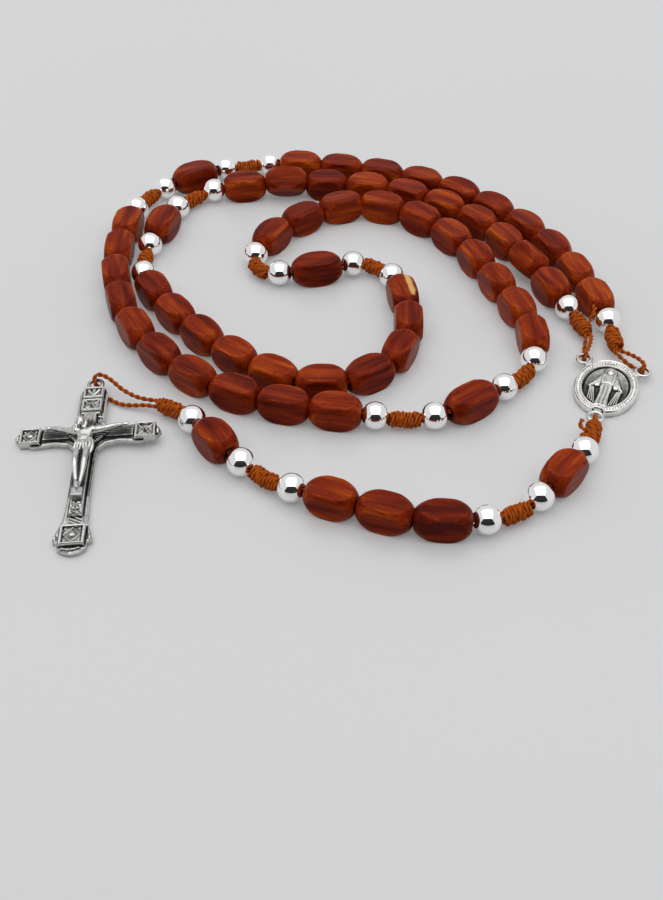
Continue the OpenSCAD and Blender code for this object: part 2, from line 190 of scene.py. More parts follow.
def placed(route, kinds, slack):
    """Joints between the pieces: first spread evenly, then with the room that the bends need."""
    line = curve(route, 16)
    total = along(line)[-1]
    lengths = {"w": BEAD_LEN, "o": FATHER_LEN, "s": BALL_D, "k": KNOT_LEN}
    plain = np.array([lengths[k] for k in kinds]) + slack
    even = np.concatenate([[0], np.cumsum(plain)])
    b = np.tan(bends(at_distance(line, even * total / even[-1])) / 2)
    allow = np.array([ALLOW_R if k in "wo" else ALLOW_BALL_R for k in kinds])
    roomy = np.concatenate([[0], np.cumsum(plain + allow * (b[:-1] + b[1:]))])
    flat = at_distance(line, roomy * total / roomy[-1])
    wood = np.array([k in "wo" for k in kinds])
    level = np.concatenate([wood[:1], wood[:-1] | wood[1:], wood[-1:]])
    return np.column_stack([flat, np.where(level, BEAD_Z, KNOT_Z)]) + LAYOUT


def loop_slack():
    out = []
    for i, kind in enumerate(LOOP_KINDS):
        out.append({"w": DECADE_GAP[(i - 2) // GROUP], "o": FATHER_GAP}.get(kind, GAP))
    return np.array(out)


LOOP_JOINTS = placed(LOOP_ROUTE, LOOP_KINDS, loop_slack())
PENDANT_JOINTS = placed(PENDANT_ROUTE, PENDANT_KINDS, np.full(len(PENDANT_KINDS), GAP))


# ---- meshes: a shape is (vertices, list of face arrays, attributes) ----

def lathe_faces(rings, ring, closed):
    """Quads between neighbouring rings of a tube; closed joins the last ring to the first."""
    i = np.arange(rings if closed else rings - 1)[:, None]
    k = np.arange(ring)[None, :]
    j, l = (i + 1) % rings, (k + 1) % ring
    quads = [i * ring + k, j * ring + k, j * ring + l, i * ring + l]
    return np.stack(np.broadcast_arrays(*quads), axis=-1).reshape(-1, 4)


def moved(shape, matrix, origin):
    """The shape turned by a 3x3 matrix and shifted."""
    v, faces, attributes = shape
    return v @ np.asarray(matrix, float).T + origin, faces, attributes


def axes_on(a, b, roll=0.0):
    """Matrix whose X runs from a to b and whose Z stays upright, turned by roll."""
    x = unit(b - a)
    z = unit(UP - (UP @ x) * x)
    y = np.cross(z, x)
    c, s = math.cos(roll), math.sin(roll)
    return np.column_stack([x, c * y + s * z, c * z - s * y])


def turn_about(axis, degrees):
    t = math.radians(degrees)
    c, s = math.cos(t), math.sin(t)
    return np.array({"x": [[1, 0, 0], [0, c, -s], [0, s, c]],
                     "y": [[c, 0, s], [0, 1, 0], [-s, 0, c]],
                     "z": [[c, -s, 0], [s, c, 0], [0, 0, 1]]}[axis], float)


def make(name, shapes, material, body, nodes, sharp=None):
    """One object from several shapes, riding on a body and standing for CAD nodes."""
    verts, corners, totals, start = [], [], [], 0
    for v, faces, _ in shapes:
        verts.append(v)
        for f in faces:
            corners.append((f + start).ravel())
            totals.append(np.full(len(f), f.shape[1]))
        start += len(v)
    verts = np.concatenate(verts) * MM
    corners, totals = np.concatenate(corners), np.concatenate(totals)
    mesh = bpy.data.meshes.new(name)
    mesh.vertices.add(len(verts))
    mesh.vertices.foreach_set("co", verts.astype(np.float32).ravel())
    mesh.loops.add(len(corners))
    mesh.loops.foreach_set("vertex_index", corners.astype(np.int32))
    mesh.polygons.add(len(totals))
    starts = np.concatenate([[0], np.cumsum(totals)[:-1]])
    mesh.polygons.foreach_set("loop_start", starts.astype(np.int32))
    mesh.polygons.foreach_set("use_smooth", np.ones(len(totals), bool))
    for key in sorted(shapes[0][2]):
        values = np.concatenate([s[2][key] for s in shapes])
        kind, field = ("FLOAT_VECTOR", "vector") if values.ndim == 2 else ("FLOAT", "value")
        layer = mesh.attributes.new(key, kind, "POINT")
        layer.data.foreach_set(field, values.astype(np.float32).ravel())
    mesh.update(calc_edges=True)
    mesh.validate()
    if sharp is not None:
        mesh.set_sharp_from_angle(angle=math.radians(sharp))
    mesh.materials.append(material)
    piece = new_object(name, mesh)
    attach(piece, body)
    if nodes:
        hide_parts(*nodes)
    return piece


# ---- wooden beads ----

FACE_OUT = 3.38      # middle of a bead to its flat sides, as hand-ground
CORNER_OUT = 4.7     # and to its long edges
END_OUT = 1.75       # radius of its end faces
END_DISH = 0.22      # how far its end faces are rounded back at their edge
BULGE = 2.25         # power of the barrel's curve along the bead
TIGHT = 0.12         # how far the beads of a decade press into one another's rounded ends
FREE = -0.4          # and the room that a bead needs to turn between two balls
WOOD_SHARP, BALL_SHARP, CAST_SHARP = 38, 60, 50    # degrees from which an edge is drawn sharp


def bead(length, rng, pale=False):
    """Bored bead along X: a square bar with turned-down ends, each a little different."""
    ring, rows = 64, 40
    half = length / 2
    a = full_turn(ring)
    x = half * np.sin(np.linspace(-math.pi / 2, math.pi / 2, rows))
    shift = rng.uniform(-0.3, 0.3)
    squeeze = 1 - (x / half) ** 2
    share = np.abs((x - shift * squeeze) / half)
    turned = rng.uniform(0.64, 0.76)
    barrel = END_OUT + (CORNER_OUT - END_OUT) * np.clip(1 - share**BULGE, 0, 1) ** turned
    sharpness = rng.uniform(36, 64)
    inverse = (1 / barrel[:, None] + 0 * a[None, :]) ** sharpness
    for k in range(4):
        down = k == 3
        face = FACE_OUT + (0 if down else rng.uniform(-0.12, 0.08))
        lean = 0 if down else rng.uniform(-0.02, 0.02)
        facing = np.cos(a - k * math.pi / 2 + rng.uniform(-0.03, 0.03) * (not down))
        crown = 1 - (0 if down else 0.018) * (x / half) ** 2
        plane = face * (1 + lean * x / half) * crown
        inverse += (np.maximum(facing, 0)[None, :] / plane[:, None]) ** sharpness
    r = inverse ** (-1 / sharpness)
    flats = (inverse - (1 / barrel[:, None]) ** sharpness) / inverse
    edge = (4 * flats * (1 - flats)) ** 2
    corners = np.exp(-((np.abs(np.cos(2 * a)) / 0.16) ** 2))[None, :] * flats
    edge = np.maximum(edge, corners)
    wobble = rng.uniform(0, 6.28, 4)
    r = r * (1 + 0.003 * np.sin(5 * a + wobble[0])[None, :] * np.cos(x * 1.1 + wobble[1])[:, None]
             + 0.0025 * np.sin(9 * a + wobble[2])[None, :] * np.sin(x * 1.9 + wobble[3])[:, None])
    bore = BEAD_BORE / 2
    tail_x = np.array([half, half, half - 0.25, 0.0, 0.25 - half, -half, -half])
    tail_r = np.array([END_OUT - 0.3, bore + 0.15, bore, bore, bore, bore + 0.15, END_OUT - 0.3])
    xs = np.concatenate([x, tail_x])
    rs = np.concatenate([r, np.repeat(tail_r[:, None], ring, axis=1)])
    v = np.stack([np.repeat(xs[:, None], ring, axis=1), rs * np.cos(a), rs * np.sin(a)], axis=-1)
    # the end faces are rounded over, so that neighbours can bend against each other
    dish = np.clip((rs - bore) / (END_OUT - bore), 0, 1) * END_DISH
    at_end = (np.abs(v[..., 0]) > half - 0.02) & (rs > bore)
    v[..., 0] -= np.where(at_end, np.sign(v[..., 0]) * dish, 0)
    v = v.reshape(-1, 3)
    grain_turn = turn_about("x", rng.uniform(0, 360))
    grain = v @ grain_turn.T + rng.uniform(-40, 40, 3)
    inner = np.repeat(np.arange(len(xs)) >= rows + 1, ring).astype(float)
    # the long edges are lightened in the colour: partly wear through the stain, partly a painted highlight
    wear_and_highlight = np.concatenate([edge.ravel(), np.zeros(ring * len(tail_x))])
    tone = np.full(len(v), rng.normal())
    strip = np.zeros(len(v))
    if pale:
        angle = np.arctan2(v[:, 2], v[:, 1])
        across = np.abs(angle - 1.08) + 0.015 * np.sin(v[:, 0] * 1.7)
        strip = np.clip((0.2 - across) / 0.1, 0, 1) * (np.abs(v[:, 0]) < 4.6)
    return v, [lathe_faces(len(xs), ring, True)[:, ::-1]], {
        "grain": grain, "tone": tone, "bore": inner, "edge": wear_and_highlight, "pale": strip}


def bead_between(a, b, rng, fit, roll=None, pale=False):
    """A bead filling the room between two joints, resting on the floor."""
    shape = bead(np.linalg.norm(b - a) + fit, rng, pale)
    if roll is None:
        roll = math.radians(rng.uniform(-2.5, 2.5))
    if abs(roll) < 0.1:
        lowest = FACE_OUT
    else:
        lowest = min(FACE_OUT * (math.cos(roll) + abs(math.sin(roll))), CORNER_OUT - 0.15)
    rise = lowest + LIFT - (a[2] + b[2]) / 2
    return moved(shape, axes_on(a, b, roll), (a + b) / 2 + [0, 0, rise])


# ---- silver balls ----

BALL_OUT = 3.18      # radius of a ball with its plating


def ball_between(a, b):
    """Bored ball with a small lip at each end of its bore."""
    ring, rows = 56, 36
    radius, bore = BALL_OUT, BALL_BORE / 2
    low = math.acos((bore + 0.08) / radius)
    t = np.linspace(-low, low, rows)
    x = np.concatenate([radius * np.sin(t), [radius * math.sin(low) - 0.1, 0.0,
                                             0.1 - radius * math.sin(low)]])
    r = np.concatenate([radius * np.cos(t), [bore, bore, bore]])
    angle = full_turn(ring)
    v = np.stack([np.repeat(x[:, None], ring, axis=1), r[:, None] * np.cos(angle),
                  r[:, None] * np.sin(angle)], axis=-1).reshape(-1, 3)
    shape = (v, [lathe_faces(len(x), ring, True)[:, ::-1]], {})
    middle = (a + b) / 2
    return moved(shape, axes_on(a, b), [middle[0], middle[1], BALL_OUT + LIFT])


# ---- twine ----

PLY_R = 0.31         # radius of one ply
PLY_OFF = 0.24       # its distance from the twine's middle
TWIST = 3.3          # length of a full turn of the two plies
KNOT_OUT = 1.95      # radius of a knot over its wraps
WRAP_STEP = 0.24     # spacing of the points along a knot's wraps
INTO_KNOT = 0.35     # how far into a knot the ends of the cord reach, as a share of its length


def transport(path):
    """Tangents and two side vectors along a path, carried without twist."""
    t = np.gradient(path, axis=0)
    t /= np.linalg.norm(t, axis=1)[:, None]
    side = np.zeros_like(path)
    v = np.cross(t[0], UP)
    if np.linalg.norm(v) < 0.1:
        v = np.cross(t[0], [1.0, 0, 0])
    for i, d in enumerate(t):
        v = unit(v - (v @ d) * d)
        side[i] = v
    return t, side, np.cross(t, side)


def twine(path, phase=0.0, swell=None):
    """Two plies twisted round each other along the path, as one closed skin."""
    ring = 18
    _, side, up = transport(path)
    s = along(path)
    a = full_turn(ring)
    r = PLY_OFF * np.abs(np.cos(a)) + np.sqrt(PLY_R**2 - (PLY_OFF * np.sin(a)) ** 2)
    turn = a[None, :] + (math.tau * s / TWIST + phase)[:, None]
    swell = np.ones(len(path)) if swell is None else swell
    reach = (r[None, :] * swell[:, None])[..., None]
    v = path[:, None] + reach * (np.cos(turn)[..., None] * side[:, None]
                                 + np.sin(turn)[..., None] * up[:, None])
    v = np.vstack([v.reshape(-1, 3), path[:1], path[-1:]])
    n = len(path) * ring
    k = np.arange(ring)
    first = np.stack([np.full(ring, n), (k + 1) % ring, k], axis=1)
    last = np.stack([np.full(ring, n + 1), n - ring + k, n - ring + (k + 1) % ring], axis=1)
    around = np.tile(a, len(path))
    fibre = np.column_stack([np.repeat(s, ring), np.cos(around), np.sin(around)])
    fibre = np.vstack([fibre, np.zeros((2, 3))])
    depth = np.append(np.tile(1 - r / (PLY_R + PLY_OFF), len(path)), [0, 0])
    return v, [lathe_faces(len(path), ring, False)[:, ::-1], first, last], {
        "fibre": fibre, "valley": depth}


def run(points, spacing=0.28):
    """A route in millimetres, already in the row frame, as evenly spaced points."""
    return evenly(curve(points, 12), spacing)


def make_cords(material):
    shift = lambda points: np.array(points) + LAYOUT
    into = lambda outer, inner: outer + INTO_KNOT * (inner - outer)
    into_first = into(LOOP_JOINTS[0], LOOP_JOINTS[1])
    into_last = into(LOOP_JOINTS[-1], LOOP_JOINTS[-2])
    path = run(np.vstack([into_first - [0.4, 0, 0], shift(RIGHT_LOOP)[::-1], LOOP_JOINTS,
                          shift(LEFT_LOOP), into_last + [0.4, 0, 0]]))
    piece = make("twine_loop", [twine(path)], material, "loop",
                 ["loop_cord", "medal_cord_right", "medal_cord_left"])
    j = PENDANT_JOINTS
    path = run(np.vstack([into(j[0], j[1]) + [0.2, 0, 0.1], shift(FOOT_LOOP)[::-1], j[:3]]))
    make("twine_foot", [twine(path, 1.0)], material, "foot_link", ["medal_cord_foot"])
    inner = [("carrier_1", 2, 3), ("link_c", 3, 6), ("carrier_2", 6, 9), ("link_b", 9, 12),
             ("carrier_3", 12, 13)]
    for n, (body, first, last) in enumerate(inner, start=1):
        path = run(j[first:last + 1])
        piece = make(f"twine_pendant_{n}", [twine(path, n)], material, body,
                     [f"pendant_cord_{n}"])
    path = run(np.vstack([j[13:16], shift(CRUCIFIX_LOOP), into(j[15], j[14])]))
    piece = make("twine_crucifix", [twine(path, 2.0)], material, "link_a",
                 ["crucifix_cord"])


def knot_shapes(a, b, rng, tails=()):
    """Twine wound round the cord between a and b, drawn in at both ends, with any loose tails."""
    length = np.linalg.norm(b - a) + 0.05
    turns = rng.uniform(7.6, 8.6)
    coil_r = KNOT_OUT - PLY_R - PLY_OFF
    t = np.linspace(0, 1, int(turns * 34))
    lean = rng.uniform(0.1, 0.28)
    phase = rng.uniform(0, math.tau)
    angle = math.tau * turns * t + phase
    reach = length / 2 - 0.25
    x = reach * (2 * t - 1) + lean * np.sin(angle + rng.uniform(0, 6.28))
    x = x + 0.14 * np.sin(math.tau * 3 * t + phase)
    r = coil_r * (1 - 0.26 * np.abs(2 * t - 1) ** 6) + 0.1 * np.sin(angle * 0.37 + phase)
    path = evenly(np.column_stack([x, r * np.cos(angle), r * np.sin(angle)]), WRAP_STEP)
    shapes = [twine(path, phase)]
    # one wrap lies across the others, as the last pass of a hand-tied knot does
    cross_turns = rng.uniform(1.1, 1.5)
    u = np.linspace(0, 1, 90)
    cross_angle = math.tau * cross_turns * u + phase + 2.0
    over_r = coil_r + 0.16
    over = np.column_stack([reach * 0.75 * (2 * u - 1), over_r * np.cos(cross_angle),
                            over_r * np.sin(cross_angle)])
    shapes.append(twine(evenly(over, WRAP_STEP), phase + 1))
    # the cord itself, which fills the knot's middle
    core = np.zeros((40, 3))
    core[:, 0] = np.linspace(-length / 2 + 0.3, length / 2 - 0.3, 40)
    shapes.append(twine(core, phase, np.full(40, 1.5)))
    middle = (a + b) / 2 + [0, 0, 0.1]
    shapes = [moved(s, axes_on(a, b), middle) for s in shapes]
    return shapes + [twine(run(np.array(tail) + LAYOUT, 0.22), 0.5) for tail in tails]


KNOT_TAILS = {
    "knot_10": [[[62.4, -0.6, 3.0], [63.6, 1.2, 4.4], [64.2, 2.6, 5.0], [64.1, 3.9, 5.2]]],
    "pendant_knot_1": [
        [[57.4, -41, 2.8], [55.9, -41.2, 4.2], [54.8, -40.6, 4.6], [54.6, -39.2, 4.5],
         [55.2, -38, 4.7]],
        [[57, -42, 2.6], [55.6, -42.2, 3.6], [54.6, -42.4, 4.2], [54.5, -43.4, 4.4],
         [55.1, -44.4, 4.9]],
    ],
}


# ---- relief plates ----

EDGE_RUB = -0.09     # how far the edges of a plate are rubbed bright
BACK_TONE = 0.03     # and how far its back is dulled
EDGE_ROWS = 6        # rows of points that follow a plate's outline

def segment_distance(x, y, a, b):
    """Distance to a segment, and the place along it from 0 to 1."""
    d = np.subtract(b, a)
    t = np.clip(((x - a[0]) * d[0] + (y - a[1]) * d[1]) / max(float(d @ d), 1e-9), 0, 1)
    return np.hypot(x - a[0] - t * d[0], y - a[1] - t * d[1]), t


def outline_distance(x, y, outline):
    """Distance to a closed outline."""
    best = np.full(np.shape(x), 1e9)
    for a, b in zip(outline, np.roll(outline, -1, axis=0)):
        best = np.minimum(best, segment_distance(x, y, a, b)[0])
    return best


def inside(x, y, outline):
    hit = np.zeros(np.shape(x), bool)
    for a, b in zip(outline, np.roll(outline, -1, axis=0)):
        crossing = (a[1] > y) != (b[1] > y)
        rise = b[1] - a[1] if b[1] != a[1] else 1e-12
        hit ^= crossing & (x < (b[0] - a[0]) * (y - a[1]) / rise + a[0])
    return hit


def step(edge, x, soft=0.06):
    """0 below the edge and 1 above it, over a soft width."""
    t = np.clip((x - edge) / soft * 0.5 + 0.5, 0, 1)
    return t * t * (3 - 2 * t)


def groove(off, width, depth):
    """Rounded line across a relief, whose middle is where off is zero."""
    return depth * np.exp(-((off / width) ** 2))


def dome(x, y, cx, cy, rx, ry, height, turn=0.0):
    c, s = math.cos(turn), math.sin(turn)
    u, v = (c * (x - cx) + s * (y - cy)) / rx, (c * (y - cy) - s * (x - cx)) / ry
    return height * np.sqrt(np.clip(1 - u * u - v * v, 0, 1))


def rod(x, y, a, b, ra, rb, height):
    """Rounded ridge from a to b whose half width runs from ra to rb."""
    d, t = segment_distance(x, y, a, b)
    r = ra + (rb - ra) * t
    return height * np.sqrt(np.clip(1 - (d / r) ** 2, 0, 1))


def offset_ring(ring, outline, depth):
    """Points of the ring drawn in by a depth, where the outline leaves room for them."""
    d = unit_rows(np.roll(ring, -1, axis=0) - np.roll(ring, 1, axis=0))
    inner = ring + depth * np.column_stack([-d[:, 1], d[:, 0]])
    keep = inside(inner[:, 0], inner[:, 1], outline)
    keep &= outline_distance(inner[:, 0], inner[:, 1], outline) > 0.86 * depth
    return inner[keep]


def unit_rows(v):
    return v / np.linalg.norm(v, axis=1)[:, None]


def relief_plate(outline, height, spacing, shade):
    """Closed plate over an outline: a relief on top, straight walls and a flat back."""
    ring = evenly(np.vstack([outline, outline[:1]]), spacing)[:-1]
    lo, hi = ring.min(0), ring.max(0)
    gx, gy = np.meshgrid(np.arange(lo[0], hi[0], spacing), np.arange(lo[1], hi[1], spacing * 0.87))
    gx = gx + np.where(np.arange(len(gx)) % 2, spacing / 2, 0)[:, None]
    gx, gy = gx.ravel(), gy.ravel()
    keep = inside(gx, gy, outline)
    gx, gy = gx[keep], gy[keep]
    keep = outline_distance(gx, gy, outline) > (EDGE_ROWS + 0.4) * spacing
    rows = [ring] + [offset_ring(ring, outline, k * spacing)
                     for k in range(1, EDGE_ROWS + 1)]
    points = np.vstack(rows + [np.column_stack([gx[keep], gy[keep]])])
    n = len(ring)
    edges = [(i, (i + 1) % n) for i in range(n)]
    coords, _, faces, _, _, _ = delaunay_2d_cdt([tuple(p) for p in points], edges, [], 1, 1e-6)
    top = np.array([tuple(c) for c in coords])
    faces = np.array([f for f in faces if len(f) == 3])
    a, b, c = top[faces[:, 0]], top[faces[:, 1]], top[faces[:, 2]]
    area = (b[:, 0] - a[:, 0]) * (c[:, 1] - a[:, 1]) - (b[:, 1] - a[:, 1]) * (c[:, 0] - a[:, 0])
    faces[area < 0] = faces[area < 0][:, ::-1]
    z = height(top[:, 0], top[:, 1])
    around = np.arange(8) * math.pi / 4
    near = np.mean([height(top[:, 0] + w * math.cos(t), top[:, 1] + w * math.sin(t))
                    for w in (0.16, 0.4) for t in around], axis=0)
    upper = np.column_stack([top, z])
    m = len(upper)
    low = np.column_stack([ring, np.zeros(n)])
    i = np.arange(n)
    walls = np.stack([i, (i + 1) % n, m + (i + 1) % n, m + i], axis=1)[:, ::-1]
    base = (m + i)[None, ::-1]
    # darkening of the hollows, plus painted shade from the shade function (on the medal's rim, a slight
    # lightening)
    sunk = near - z + shade(top[:, 0], top[:, 1], z)
    sunk[:n] = np.minimum(sunk[:n], EDGE_RUB)
    sunk = np.concatenate([sunk, np.full(n, BACK_TONE)])
    return np.vstack([upper, low]), [faces, walls, base], {"sunk": sunk}


def ring_shape(cx, cy, cz, radius, wire):
    """Flat ring of round wire."""
    rows, ring = 64, 24
    t = full_turn(rows)[:, None]
    a = full_turn(ring)[None, :]
    r = radius + wire * np.cos(a)
    v = np.stack([cx + r * np.cos(t), cy + r * np.sin(t), cz + wire * np.sin(a) + 0 * t], axis=-1)
    faces = lathe_faces(rows, ring, True)
    return v.reshape(-1, 3), [faces], {"sunk": np.full(rows * ring, -0.02)}


def block(x, y, z, w, h, d, round_by=0.18):
    """Rounded block centred on a point."""
    n = 13
    s = np.linspace(-1, 1, n)
    verts, faces, start = [], [], 0
    half = np.array([w, h, d]) / 2
    for axis in range(3):
        for side in (-1, 1):
            u, v = np.meshgrid(s, s, indexing="ij")
            p = np.zeros((n, n, 3))
            p[..., axis] = side
            p[..., (axis + 1) % 3] = u
            p[..., (axis + 2) % 3] = v
            p = p.reshape(-1, 3) * half
            core = np.clip(p, -half + round_by, half - round_by)
            off = p - core
            size = np.linalg.norm(off, axis=1)[:, None]
            verts.append(core + off / np.maximum(size, 1e-9) * round_by)
            i, k = np.meshgrid(np.arange(n - 1), np.arange(n - 1), indexing="ij")
            q = np.stack([i * n + k, (i + 1) * n + k, (i + 1) * n + k + 1, i * n + k + 1], axis=-1)
            q = q.reshape(-1, 4) + start
            faces.append(q if side > 0 else q[:, ::-1])
            start += n * n
    v = np.concatenate(verts) + [x, y, z]
    return v, [np.concatenate(faces)], {"sunk": np.zeros(len(v))}


# ---- medal ----

MEDAL_STEP = 0.085                   # spacing of the points of its relief
RIM_BEADS, RIM_SPACING = 64, 0.72    # the beading round its rim


def oval(w, h, n=160):
    t = full_turn(n)
    return np.column_stack([w / 2 * np.cos(t), h / 2 * np.sin(t)])


def oval_depth(x, y, w, h):
    """Roughly how far a point lies inside an oval's edge."""
    k = np.sqrt((x / (w / 2)) ** 2 + (y / (h / 2)) ** 2)
    return (1 - k) * (w * h) / 2 / np.hypot(w * y / np.maximum(np.hypot(x, y), 1e-6),
                                            h * x / np.maximum(np.hypot(x, y), 1e-6))


def medal_height(x, y):
    """Relief of the medal: rounded rim with beading, sunk field, rays and a standing figure."""
    edge = oval_depth(x, y, MEDAL_W, MEDAL_H)
    field = 1.05 - 0.18 * step(0.5, -y, 2.5)
    z = 1.5 + 0.32 * np.sqrt(np.clip(edge / 0.4, 0, 1))
    outer_line = groove(edge - 0.3, 0.13, 0.15)
    inner_line = groove(edge - 1.72, 0.14, 0.28)
    t = np.arctan2(y / MEDAL_H, x / MEDAL_W)
    along_rim = (t / math.tau * RIM_BEADS) % 1 - 0.5
    dot = np.clip(1 - (along_rim * RIM_SPACING / 0.25) ** 2 - ((edge - 0.98) / 0.33) ** 2, 0, 1)
    z = z - 0.12 * step(0.5, edge) + outer_line + inner_line + 0.2 * np.sqrt(dot)
    z = z + (field - z) * step(1.95, edge, 0.2) - groove(edge - 2.15, 0.14, 0.16)
    # half-round pocket in the rim where the lower ear joins it
    pocket = np.hypot(x, (y + 9.9) * 1.05)
    z = np.where((pocket < 1.75) & (y > -9.6), 1.75 + 0.3 * step(1.35, pocket, 0.1), z)
    z = np.where((pocket < 1.35), 0.55, z)
    inner = step(2.1, edge, 0.2)
    rays = 0 * x
    for side in (-1, 1):
        for k in range(4):
            hand = (side * (3.5 - 0.25 * k), -1.0)
            tip = (side * (3.3 - 0.52 * k), -5.1 - 0.35 * k)
            rays = np.maximum(rays, rod(x, y, hand, tip, 0.25, 0.17, 0.6 - 0.06 * k))
    z = z + rays * inner
    hem = -7.2
    share = np.clip((y - hem) / (4.2 - hem), 0, 1)
    half = 1.75 - 0.5 * np.sin(share * math.pi) + 0.28 * share
    body = np.sqrt(np.clip(1 - (x / half) ** 2, 0, 1)) * step(hem, y, 0.3) * step(-4.2, -y, 0.5)
    folds = 0.11 * np.cos(x * 6.6 + 0.5 * np.sin(y * 0.9)) * step(-0.4, -y, 1.2)
    crease = groove(y - 0.9 + 0.12 * x * x, 0.16, 0.16)
    robe = (0.8 * body + folds * body) - crease * (body > 0.2)
    cape = 0 * x
    for side in (-1, 1):
        # shoulder, upper arm, two folds of the sleeve, and the hand
        for x0, y0, x1, y1, *sizes in ((1.0, 3.9, 2.5, 0.7, 1.0, 0.8, 0.72),
                                       (1.3, 2.2, 2.3, 0.4, 0.9, 0.85, 0.66),
                                       (2.3, 0.9, 3.5, -0.6, 0.42, 0.28, 0.86),
                                       (2.9, 0.9, 3.1, -0.5, 0.3, 0.22, 0.7)):
            cape = np.maximum(cape, rod(x, y, (side * x0, y0), (side * x1, y1), *sizes))
        cape = np.maximum(cape, dome(x, y, side * 3.62, -0.85, 0.34, 0.5, 0.85, side * 0.7))
    cape = cape - groove(np.abs(x) - 1.35 - 0.1 * y, 0.13, 0.14) * (cape > 0.3) * (y > 0.3)
    veil = dome(x, y, 0, 5.3, 1.5, 1.95, 0.75)
    veil = np.maximum(veil, rod(x, y, (0, 5.0), (0, 3.6), 1.45, 1.9, 0.62))
    veil = veil - groove(np.hypot(x / 0.98, (y - 5.45) / 1.28) - 1, 0.14, 0.2) * (veil > 0.2)
    head = dome(x, y, 0, 5.45, 0.86, 1.14, 1.0)
    face = dome(x, y, 0, 5.3, 0.14, 0.38, 0.14) + dome(x, y, 0, 5.0, 0.32, 0.11, 0.05)
    face = face - dome(x, y, -0.32, 5.6, 0.2, 0.13, 0.05) - dome(x, y, 0.32, 5.6, 0.2, 0.13, 0.05)
    head = np.where(head > 0, head + face * (head > 0.6), 0)
    figure = np.maximum.reduce([robe, cape, veil, head]) * inner
    return np.maximum(z, np.where(figure > 0.05, field + figure, 0))


def medal_shade(x, y, z):
    """Painted shade on the medal besides its hollows: the low field, darker towards its lower edge, and
    the deep pocket; the rim is lightened a little.
    """
    edge = oval_depth(x, y, MEDAL_W, MEDAL_H)
    field = (z < 1.2) * step(2.0, edge, 0.3)
    pocket = (z < 0.7) * 0.3
    return field * (0.04 + 0.2 * step(0.5, -y, 5)) + pocket - 0.05 * (1 - step(1.9, edge, 0.3))


def neck_shape(cx, cy):
    """Neck of metal between the rim and an ear."""
    d = unit(np.array([cx, cy]))
    middle = np.array([cx, cy]) - d * (EAR_R + 0.35)
    shape = block(0, 0, 0, 1.7, 1.9, 1.3, 0.4)
    turn = math.degrees(math.atan2(d[1], d[0]))
    return moved(shape, turn_about("z", turn), [middle[0], middle[1], EAR_Z - 0.25])


def make_medal(material):
    shapes = [relief_plate(oval(MEDAL_W, MEDAL_H), medal_height, MEDAL_STEP, medal_shade)]
    for x, y in EARS:
        shapes.append(ring_shape(x, y, EAR_Z, EAR_R, EAR_WIRE))
        shapes.append(neck_shape(x, y))
    turn = turn_about("z", MEDAL_TURN)
    make("medal_cast", [moved(s, turn, MEDAL_AT) for s in shapes], material, "medal",
         ["medal"], CAST_SHARP)


# ---- crucifix ----

CROSS_HALF = np.array([
    [0, 15.8], [1.7, 15.8], [2.8, 14.9], [3.2, 13.6], [3.1, 5.4], [2.7, 4.7], [4.3, 2.9], [7, 2.35],
    [12.4, 2.95], [12.5, 2.45], [14.7, 2.45], [15.1, 1.8], [16.2, 0], [15.1, -1.8], [14.7, -2.45],
    [12.5, -2.45], [12.4, -2.95], [7, -2.35], [4.3, -2.9], [2.6, -4.7], [2.3, -8], [2.35, -20],
    [2.6, -25.8], [3.8, -29.6], [4.1, -31.4], [3.2, -31.9], [2.9, -33.6], [1.6, -34.6], [0, -35],
])
CROSS_OUTLINE = np.vstack([CROSS_HALF, (CROSS_HALF * [-1, 1])[-2:0:-1]])[::-1]
CROSS_STEP = 0.1
FOOTREST = (0, -19.5, 2.6, 2.5, 2.4, 1.5)


def box_depth(x, y, cx, cy, w, h):
    """How far a point lies inside a rectangle's edge."""
    return np.minimum(w / 2 - np.abs(x - cx), h / 2 - np.abs(y - cy))


def framed_panel(x, y, cx, cy, w, h, ornament):
    """Raised square frame with an ornament inside, as a height above the plate's floor."""
    depth = box_depth(x, y, cx, cy, w, h)
    z = 1.05 * step(0, depth, 0.16) - 0.55 * step(0.62, depth, 0.16)
    u, v = x - cx, y - cy
    if ornament == "lozenge":
        k = np.abs(u) / (w / 2 - 0.75) + np.abs(v) / (h / 2 - 0.75)
        z = z + groove(k - 0.92, 0.12, 0.42) * step(0.6, depth)
        z = z + dome(x, y, cx, cy, 0.72, 0.62, 0.5)
        for su in (-1, 1):
            for sv in (-1, 1):
                z = z + dome(x, y, cx + su * (w / 2 - 1.15), cy + sv * (h / 2 - 1.1), 0.3, 0.3, 0.32)
    if ornament == "cross":
        for s in (-1, 1):
            z = z + groove(u - s * v * w / h, 0.3, 0.36) * step(0.62, depth)
        z = z + dome(x, y, cx, cy, 0.7, 0.62, 0.3)
    if ornament == "leaf":
        for s in (-1, 0, 1):
            z = np.maximum(z, (0.5 + rod(x, y, (cx, cy - h * 0.26), (cx + s * w * 0.26, cy + h * 0.24),
                                         0.34, 0.46, 0.42)) * step(0.62, depth))
    return z


